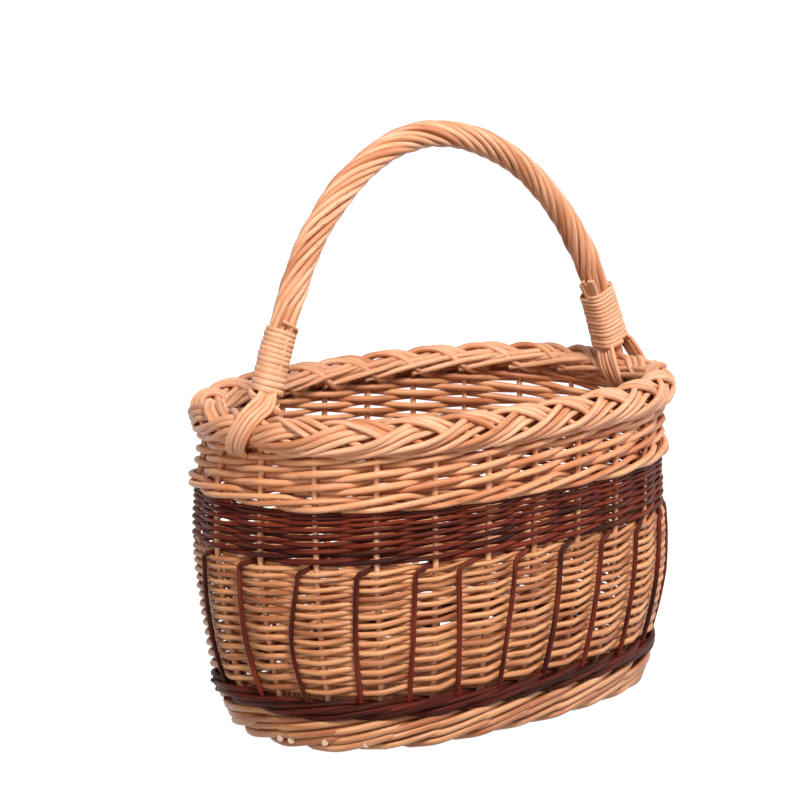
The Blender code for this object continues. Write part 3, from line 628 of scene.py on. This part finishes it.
# stakes from the start, degrees round the section from straight out, share of its half size
BORDER_KEYS = np.array([
    (-0.45, 235, 0.45), (-0.15, 190, 0.70), (0.15, 145, 0.86), (0.42, 108, 1.03),
    (0.68, 78, 1.06), (0.92, 52, 0.99), (1.15, 24, 0.70), (1.40, -22, 0.52), (1.70, -58, 0.70),
    (1.95, -70, 0.95), (2.30, -57, 1.02), (2.65, -39, 1.05), (2.98, -15, 1.06), (3.26, 12, 1.04),
    (3.47, 33, 0.88), (3.66, 54, 0.62), (3.88, 76, 0.54), (4.25, 110, 0.72), (4.70, 138, 1.04),
    (5.20, 150, 1.02), (5.80, 163, 0.86), (6.40, 180, 0.55)])
# where the tails pull the border in, how much, and over how many stakes
RIBBONS_CROSS, PINCH, PINCH_REACH = (10.87, 21.85), 0.17, 0.42


def pinched(position):
    """The border's width as a share, less where the tails cross it."""
    return 1 - PINCH * sum(np.exp(-(stakes_from(place, position) / PINCH_REACH) ** 2)
                           for place in RIBBONS_CROSS)


def border_paths(times, shift):
    """Paths round the border's section, one for each stake, shifted sideways on its surface."""
    keys, angles, reaches = BORDER_KEYS.T
    angle = np.radians(glide(times, keys, angles))
    reach = glide(times, keys, reaches)
    angle = angle + wobble(STAKES, times, size=0.05)
    reach = reach * (1 + wobble(STAKES, times, size=0.02))
    position = np.arange(STAKES)[:, None] + times + wobble(STAKES, times, size=0.02)
    reach = reach * pinched(position)
    cosine, sine = np.cos(angle), np.sin(angle)
    out = BORDER_HALF[0] * cosine * reach
    up = BORDER_HALF[1] * sine * reach
    middle, outward = wall(position, BORDER_MIDDLE)
    normal = unit(outward * cosine[..., None] + UP * sine[..., None])
    centre = middle + outward * out[..., None] + UP * up[..., None]
    side = unit(np.cross(normal, unit(np.gradient(centre, axis=1))))
    return centre + side * shift, normal


def make_border():
    times = np.arange(BORDER_KEYS[0, 0], BORDER_KEYS[-1, 0], BORDER_STEP)
    core, _ = wall(np.arange(0, STAKES + 0.3, 1 / 8)[None], BORDER_MIDDLE)
    bundles = [sweep(core, BORDER_CORE, UP)]
    for place, last in BORDER_GROUP:
        used = times[times <= last]
        paths, normal = border_paths(used, place * BORDER_ROD * BORDER_SIDE_BY_SIDE)
        taper = np.linspace(*BORDER_TAPER, len(used))
        radii = BORDER_ROD / 2 * chance.normal(1, 0.05, (STAKES, 1)) * taper
        bundles.append(sweep(paths, radii, normal, BORDER_FLAT, sides=10))
    return rods_object("border_plait", bundles, PAINTED_LIGHT_WILLOW, "peeled_willow", "border")


make_border()


# Handle: a fixed bow with ten peeled rods laid round it like a rope. Its ends are pushed
# down through the border beside the end stakes.

BORDER_TOP = 0.251
BOW_APEX, BOW_DROP, BOW_RISE = -0.0115, 0.100, 0.28525
BOW_FEET = (-0.1735, 0.1885)
BOW_LEAN, LEAN_FROM, LEAN_TO = -0.004, 0.25, 0.07   # the left leg leans towards the camera
BOW_BULGE, BULGE_AT, BULGE_LONG = -0.0033, 0.145, 0.05
NEAR = np.array([0.0, -1.0, 0.0])


def bow_line():
    """Points of the bow from its left foot to its right, and the length run at each."""
    low = math.asin(BOW_DROP / BOW_RISE)
    angle = np.linspace(math.pi - low, low, 1441)
    left, right = [abs(foot - BOW_APEX) / math.cos(low) for foot in BOW_FEET]
    across = BOW_APEX + np.where(angle > math.pi / 2, left, right) * np.cos(angle)
    line = np.stack([across, 0 * across, BORDER_TOP - BOW_DROP + BOW_RISE * np.sin(angle)], -1)
    return line, np.append(0, np.cumsum(np.linalg.norm(np.diff(line, axis=0), axis=1)))


BOW_LINE, BOW_RUNS = bow_line()
BOW_LENGTH = BOW_RUNS[-1]


def bow(run):
    """Points of the bow at lengths from its left foot, the way along it and the way out."""
    run = np.asarray(run, float)
    slope = unit(np.gradient(BOW_LINE, axis=0))
    points = np.stack([np.interp(run, BOW_RUNS, BOW_LINE[:, i]) for i in range(3)], -1)
    along = unit(np.stack([np.interp(run, BOW_RUNS, slope[:, i]) for i in range(3)], -1))
    points = points + slope[0] * np.minimum(run, 0)[..., None]
    points = points + slope[-1] * np.maximum(run - BOW_LENGTH, 0)[..., None]
    points[..., 1] += np.interp(run, [LEAN_TO, LEAN_FROM], [BOW_LEAN, 0])
    points[..., 0] += BOW_BULGE * np.exp(-((run - BULGE_AT) / BULGE_LONG) ** 2)
    outside = np.stack([-along[..., 2], 0 * run, along[..., 0]], -1)
    return points, along, outside


BINDING_LOW = 0.0100
BINDING_LONG = {-1: 0.0472, 1: 0.0445}      # up the left leg, and up the right

STRANDS, STRAND_DIAMETER, STRAND_PAST, HANDLE_LAY = 10, 0.0049, 0.004, 0.140
# the strands' reach from the bow's middle, by the length from the nearer binding
HANDLE_REACH = 0.0078
REACH_LENGTHS = (-0.08, -0.017, -0.007, 0.001, 0.011, 0.026, 0.06, 0.4)
REACHES = (0.0050, 0.0050, 0.0057, 0.0069, 0.0076, HANDLE_REACH, HANDLE_REACH, HANDLE_REACH)
SLIM, SLIM_AT, SLIM_LONG = 0.0008, 0.68, 0.09       # where the bow is slimmer, in its lengths
# the lay starts UNLAID inside a binding's end, is full LAID outside it, and lags a little
UNLAID, LAID, LAY_LAG = 0.01, 0.02, 0.012
BOW_CORE = 0.0062
# the rods inside the legs: which end of the bow, and the lengths from it
LEG_RODS, LEG_REACH, LEG_ROD_RADIUS = 4, 0.0034, 0.0023
LEGS = ((0, -0.052, 0.03), (BOW_LENGTH, 0.014, -0.03))


def across_bow(outside, angle):
    """Ways out from the bow, at angles from its outer side towards the camera."""
    return outside * np.cos(angle)[..., None] + NEAR * np.sin(angle)[..., None]


def make_handle():
    run = np.linspace(-STRAND_PAST, BOW_LENGTH + STRAND_PAST, 420)
    first, last = BINDING_LOW + BINDING_LONG[-1], BOW_LENGTH - BINDING_LOW - BINDING_LONG[1]
    reach = glide(np.minimum(run - first, last - run), REACH_LENGTHS, REACHES)
    reach = reach - SLIM * np.exp(-((run / BOW_LENGTH - SLIM_AT) / SLIM_LONG) ** 2)
    twist = np.interp(run, [first - UNLAID, first + LAID, last - LAID, last + UNLAID],
                      [0, LAY_LAG, last - first - LAY_LAG, last - first])
    place, _, outside = bow(run)
    angle = 2 * math.pi * (twist / HANDLE_LAY + np.arange(STRANDS)[:, None] / STRANDS)
    angle = angle + wobble(STRANDS, run, size=0.07, pace=0.05)
    reach = reach * (1 + wobble(STRANDS, run, size=0.035, pace=0.05))
    normal = across_bow(outside, angle)
    radii = STRAND_DIAMETER / 2 * chance.normal(1, 0.06, (STRANDS, 1))
    radii = radii * (1 + wobble(STRANDS, run, size=0.05, pace=0.1))
    core = BOW_CORE * np.clip(reach.mean(0) / HANDLE_REACH, 0, 1)
    bundles = [sweep(place[None], core, outside),
               sweep(place + normal * reach[..., None], radii, normal, sides=10)]
    for end, start, stop in LEGS:
        down = np.linspace(start, stop, 12)
        place, _, outside = bow(end + down)
        around = math.pi / 4 + 2 * math.pi / LEG_RODS * np.arange(LEG_RODS)[:, None] + 0 * down
        normal = across_bow(outside, around)
        bundles.append(sweep(place + normal * LEG_REACH, LEG_ROD_RADIUS, normal))
    return rods_object("handle_rope", bundles, PAINTED_LIGHT_WILLOW, "peeled_willow", "handle")


make_handle()


# Bindings: one split rod wound round each foot of the handle, over the tails, twelve times on
# the left and thirteen on the right. On the left its lower end dives into the border and its
# upper end stands off a little.

BINDING_TURNS = {-1: 12, 1: 13}
BINDING_EASE = {-1: 0.87, 1: 1.0}           # under 1, the lower turns are wider apart
BINDING_ROD = {-1: 0.0043, 1: 0.0036}
BINDING_WIDTHS = {-1: (1.25, 0.80), 1: (1.08, 0.92)}    # shares of it, below and above
BINDING_HALF = {-1: (0.0114, 0.0102), 1: (0.0125, 0.0106)}      # in the bow's plane, and across it
BINDING_NARROWER = 0.05                     # at the top, as a share
BINDING_STARTS = {-1: math.radians(-20), 1: 2.4}
BINDING_BEFORE, BINDING_PAST = {-1: 0.47, 1: 0.15}, 0.12        # turns before 0 and past the last
BINDING_FLAT, BINDING_TONE = 0.55, 0.1
BINDING_SQUARE, INNER_SQUARE = 2.2, 3.8     # the right one's inner side is squarer
INNER_EXTRA = 0.0018                        # and reaches further
DIVE_TO, DIVE_WIDTH, DIVE_WIDER = -0.004, 1.38, 0.3
DIVE_OUT, DIVE_OVER = 0.0018, 0.25          # how far the diving end stands out, and over what turn
FLARE_OUT, FLARE_TURNS = 0.0015, 3          # of the right one's lowest turns
# the left one's upper end: degrees round the leg, lengths above the binding, and standing out
TIP_ANGLES, TIP_RUNS, TIP_OUTS, TIP_RADIUS = (190, 48), (0.0018, 0.0066), (-0.0008, 0.0016), 0.0013


def up_binding(side, run):
    """The share of a binding that lies below lengths up its leg."""
    return np.clip((run - BINDING_LOW) / BINDING_LONG[side], 0, 1)


def round_leg(side, run, angle, grown=0.0):
    """Points on the bindings' middle line round a leg, and the way out at each."""
    place, _, outside = bow(run if side < 0 else BOW_LENGTH - run)
    half_out, half_near = BINDING_HALF[side]
    cosine, sine = np.cos(angle), np.sin(angle)
    inner = (cosine < 0) & (side > 0)
    power = 2 / np.where(inner, INNER_SQUARE, BINDING_SQUARE)
    half_out = half_out + INNER_EXTRA * inner
    shrink = 1 - BINDING_NARROWER * up_binding(side, run)
    out = (half_out * shrink + grown) * np.sign(cosine) * np.abs(cosine) ** power
    near = (half_near * shrink + grown) * np.sign(sine) * np.abs(sine) ** power
    steep_out = np.sign(cosine) * np.abs(cosine) ** (2 - power) / half_out
    steep_near = np.sign(sine) * np.abs(sine) ** (2 - power) / half_near
    normal = unit(outside * steep_out[:, None] + NEAR * steep_near[:, None])
    return place + outside * out[:, None] + NEAR * near[:, None], normal


def make_binding(name, side):
    turns = BINDING_TURNS[side]
    turned = np.arange(-BINDING_BEFORE[side], turns + BINDING_PAST, 1 / 36)
    share = np.sign(turned) * np.abs(turned / turns) ** BINDING_EASE[side]
    run = BINDING_LOW + BINDING_LONG[side] * share
    grown = wobble(1, turned, size=0.00015, pace=0.5)[0]
    below, above = BINDING_WIDTHS[side]
    width = np.interp(turned, [0.3, turns], [below, above])
    angle = BINDING_STARTS[side] + side * 2 * math.pi * turned
    if side < 0:
        dive = (BINDING_LOW - DIVE_TO) * turned / BINDING_BEFORE[side]
        run = np.where(turned < 0, BINDING_LOW + dive, run)
        wider = width + DIVE_WIDER * np.clip(1 - turned / 0.5, 0, 1)
        width = np.where(turned < 0, DIVE_WIDTH, wider)
        grown = grown + DIVE_OUT * np.clip(0.1 - turned, 0, DIVE_OVER) / DIVE_OVER
    else:
        flare = FLARE_OUT * np.clip(1 - turned / FLARE_TURNS, 0, 1)
        grown = grown + flare * np.maximum(np.cos(angle), 0)
    paths, normal = round_leg(side, run, angle, grown)
    radii = BINDING_ROD[side] / 2 * width * (1 + wobble(1, turned, size=0.03)[0])
    bundles = [sweep(paths[None], radii[None], normal[None], BINDING_FLAT, sides=10,
                     tones=[BINDING_TONE])]
    if side < 0:
        run = BINDING_LOW + BINDING_LONG[side] + np.linspace(*TIP_RUNS, 16)
        paths, normal = round_leg(side, run, np.radians(np.linspace(*TIP_ANGLES, 16)),
                                  np.linspace(*TIP_OUTS, 16))
        bundles.append(sweep(paths[None], TIP_RADIUS, normal[None], tones=[BINDING_TONE]))
    return rods_object(name + "_coil", bundles, PAINTED_LIGHT_WILLOW, "peeled_willow", name)


make_binding("binding_left", -1)
make_binding("binding_right", 1)


# Tails: at each foot five of the handle's rods come out under the binding, go side by side
# over the outside of the border, in under it and up the inside, and are cut off above the
# binding.

TAILS, TAIL_ROD, TAIL_FLAT, TAIL_POINTS = 5, 0.0038, 0.85, 72
TAIL_SPREAD, TOP_SPREAD, EDGE_SPREAD = 0.0074, 0.0056, 0.0060   # on the border, above it, at it
TAIL_RUNS = (0.006, 0.028, 0.014)           # below a binding's top, and then up its leg
TAIL_LIFT, LIFT_OVER = 0.0022, 0.006        # off the leg above the binding


def ribbon(points, facings, spread):
    """Five rods side by side on a path, facing away from what they lie on.

    spread is half the distance between the outer ones, at each point.
    """
    times, keys = np.linspace(0, len(points) - 1, TAIL_POINTS), np.arange(len(points))
    middle = glide(times, keys, points)
    facing = unit(glide(times, keys, facings))
    side = unit(np.cross(unit(np.gradient(middle, axis=0)), facing))
    across = np.linspace(-1, 1, TAILS)[:, None] * glide(times, keys, spread)
    across = across + wobble(TAILS, times, size=0.00025, pace=2)
    off = wobble(TAILS, times, size=ROD_DRIFT, pace=2)
    paths = middle + side * across[..., None] + facing * off[..., None]
    radii = TAIL_ROD / 2 * chance.normal(1, 0.06, (TAILS, 1)) * np.ones(TAIL_POINTS)
    return [sweep(paths[i:i + 1, s:], radii[i:i + 1, s:], facing[None, s:], TAIL_FLAT, sides=10)
            for i, s in enumerate(chance.integers(0, 3, TAILS))]


def bound(side, turn, reach, runs):
    """Points under a binding, at an angle round the leg and a reach from its middle."""
    runs = np.array(runs)
    place, _, outside = bow(runs if side < 0 else BOW_LENGTH - runs)
    way = outside * math.cos(math.radians(turn)) + NEAR * math.sin(math.radians(turn))
    lift = TAIL_LIFT * np.clip((runs - BINDING_LOW - BINDING_LONG[side]) / LIFT_OVER, 0, 1)
    reach = reach * (1 - BINDING_NARROWER * up_binding(side, runs)) + lift
    return (place + way * reach[:, None]).tolist(), way.tolist()


# where the tails go below the bindings: place in mm, and the way they face, in hundredths
LEFT_OVER = (((-180.0, -14.0, 260.0), (-60, -75, 30)), ((-185.0, -15.5, 256.3), (-50, -62, 58)),
             ((-190.5, -15.5, 253.2), (-52, -38, 76)), ((-196.5, -15.0, 249.0), (-78, -34, 56)),
             ((-200.6, -12.5, 242.5), (-95, -18, 22)), ((-202.4, -9.0, 235.0), (-100, -8, -5)),
             ((-201.5, -5.5, 228.0), (-90, -3, -40)), ((-197.5, -3.0, 222.0), (-50, 0, -85)),
             ((-191.5, -1.0, 219.5), (-20, 0, -100)))
LEFT_UNDER = (((-164.5, -3.0, 256.0), (90, 0, 30)), ((-169.0, -3.0, 247.0), (90, 0, 40)),
              ((-173.5, -3.0, 238.0), (90, 0, 30)), ((-178.0, -3.0, 229.0), (70, 0, -50)),
              ((-186.0, -3.0, 220.5), (30, 0, -100)))
RIGHT_OVER = (((198.6, -3.0, 260.0), (95, -15, 20)), ((200.2, -6.5, 255.5), (90, -15, 30)),
              ((202.0, -10.0, 250.0), (90, -20, 30)), ((203.5, -12.5, 244.0), (100, -20, 15)),
              ((204.0, -14.5, 237.5), (100, -20, 0)), ((202.5, -15.5, 230.0), (90, -10, -40)),
              ((198.5, -15.0, 223.0), (50, 0, -85)), ((191.0, -14.5, 219.5), (20, 0, -100)))
RIGHT_UNDER = (((175.4, -3.2, 256.5), (-100, -15, 0)), ((174.8, -6.0, 247.0), (-100, -10, 0)),
               ((175.5, -9.5, 238.0), (-100, 0, -10)), ((178.5, -12.0, 230.0), (-80, 0, -50)),
               ((184.0, -14.0, 222.5), (-40, 0, -90)))
# each bunch: degrees round the leg, reach and spread under the binding, height of its cut ends
# over the binding's top, and its way down
LEFT_BUNCHES = ((56, 0.0084, 0.0044, -0.006, LEFT_OVER), (125, 0.0080, 0.0030, 0.0040, LEFT_UNDER))
RIGHT_BUNCHES = ((0, 0.0088, 0.0044, 0.002, RIGHT_OVER), (160, 0.0103, 0.0042, 0.0175, RIGHT_UNDER))


def make_tails(name, side, bunches):
    """Both bunches of a foot, the one over the border's outside and the one inside."""
    bundles = []
    top = BINDING_LOW + BINDING_LONG[side]
    for turn, reach, bound_spread, over, below in bunches:
        runs = [top + over, top - TAIL_RUNS[0], *TAIL_RUNS[1:]]
        points, facings = bound(side, turn, reach, runs)
        points += [[value / 1000 for value in place] for place, _ in below]
        facings += [[value / 100 for value in facing] for _, facing in below]
        spread = np.interp(np.arange(len(points)), [0, 1, 3, 4, 6],
                           [TOP_SPREAD, bound_spread, bound_spread, EDGE_SPREAD, TAIL_SPREAD])
        bundles += ribbon(np.array(points), np.array(facings), spread)
    return rods_object(name + "_rods", bundles, PAINTED_LIGHT_WILLOW, "pale_willow", name)


make_tails("tails_left", -1, LEFT_BUNCHES)
make_tails("tails_right", 1, RIGHT_BUNCHES)


# Stage: a plain pale floor and backdrop, three soft lamps and the camera at the angle of the
# photograph. The floor and the backdrop look white, but light the basket much less.

FLOOR_HALF, FLOOR_GREY, FLOOR_GLOW = 6.0, (0.32, 0.32, 0.32, 1), 0.98
WHITE = (1, 1, 1, 1)
SKY_COLOUR, SKY_LIGHT, SKY_SEEN = (1.0, 0.84, 0.72, 1), 0.04, 0.96      # the seen part is added


def showing(tree):
    """1 for the rays that the background is white for: camera, glossy and transmission rays."""
    rays = add_node(tree, "ShaderNodeLightPath").outputs
    either = add_node(tree, "ShaderNodeMath", operation="MAXIMUM", in_0=rays["Is Camera Ray"],
                      in_1=rays["Is Glossy Ray"]).outputs[0]
    return add_node(tree, "ShaderNodeMath", operation="MAXIMUM", in_0=either,
                    in_1=rays["Is Transmission Ray"]).outputs[0]


def floor_material():
    material = bpy.data.materials.new("floor_white")
    material.use_nodes = True
    tree = material.node_tree
    shader = tree.nodes["Principled BSDF"]
    shader.inputs["Base Color"].default_value = FLOOR_GREY
    shader.inputs["Roughness"].default_value = 0.9
    shader.inputs["Specular IOR Level"].default_value = 0.1
    shader.inputs["Emission Color"].default_value = WHITE
    glow = add_node(tree, "ShaderNodeMath", operation="MULTIPLY", in_0=showing(tree),
                    in_1=FLOOR_GLOW).outputs[0]
    tree.links.new(glow, shader.inputs["Emission Strength"])
    return material


def make_floor():
    mesh = bpy.data.meshes.new("floor")
    corners = [(x * FLOOR_HALF, y * FLOOR_HALF, 0) for x, y in ((-1, -1), (1, -1), (1, 1), (-1, 1))]
    mesh.from_pydata(corners, [], [(0, 1, 2, 3)])
    mesh.materials.append(floor_material())
    floor = bpy.data.objects.new("floor", mesh)
    bpy.context.scene.collection.objects.link(floor)


def make_world():
    world = bpy.data.worlds.new("studio")
    bpy.context.scene.world = world
    world.use_nodes = True
    tree = world.node_tree
    seen = showing(tree)
    background = tree.nodes["Background"].inputs
    tree.links.new(times_plus(tree, seen, SKY_SEEN, SKY_LIGHT), background["Strength"])
    tree.links.new(mix_colour(tree, seen, SKY_COLOUR, WHITE), background["Color"])


def add_lamp(name, place, aim, size, power):
    light = bpy.data.lights.new(name, "AREA")
    light.shape = "DISK"
    light.size, light.energy = size, power
    lamp = bpy.data.objects.new(name, light)
    lamp.location = place
    lamp.rotation_euler = (Vector(aim) - Vector(place)).to_track_quat("-Z", "Y").to_euler()
    bpy.context.scene.collection.objects.link(lamp)


# fitted to the photograph: the camera's direction and distance from what it looks at
AZIMUTH, ELEVATION, DISTANCE = -0.7395, 0.1837, 2.7417
TARGET = Vector((-0.0354, 0.0026, 0.2397))
SENSOR_WIDTH, LENS = 36.0, 165.98


def make_camera():
    level = math.cos(ELEVATION)
    back = Vector((math.sin(AZIMUTH) * level, -math.cos(AZIMUTH) * level, math.sin(ELEVATION)))
    data = bpy.data.cameras.new("camera")
    data.sensor_width, data.lens = SENSOR_WIDTH, LENS
    camera = bpy.data.objects.new("camera", data)
    camera.location = TARGET + back * DISTANCE
    camera.rotation_euler = back.to_track_quat("Z", "Y").to_euler()
    bpy.context.scene.collection.objects.link(camera)
    bpy.context.scene.camera = camera


make_floor()
make_world()
add_lamp("key", place=(-0.9, -1.9, 2.5), aim=(0, 0, 0.2), size=0.8, power=118)
add_lamp("fill", place=(1.9, -1.4, 1.2), aim=(0, 0, 0.2), size=1.2, power=30)
add_lamp("side", place=(-2.1, -0.6, 0.8), aim=(0, 0, 0.12), size=1.2, power=14)
make_camera()
bpy.context.scene.view_settings.view_transform = "Standard"
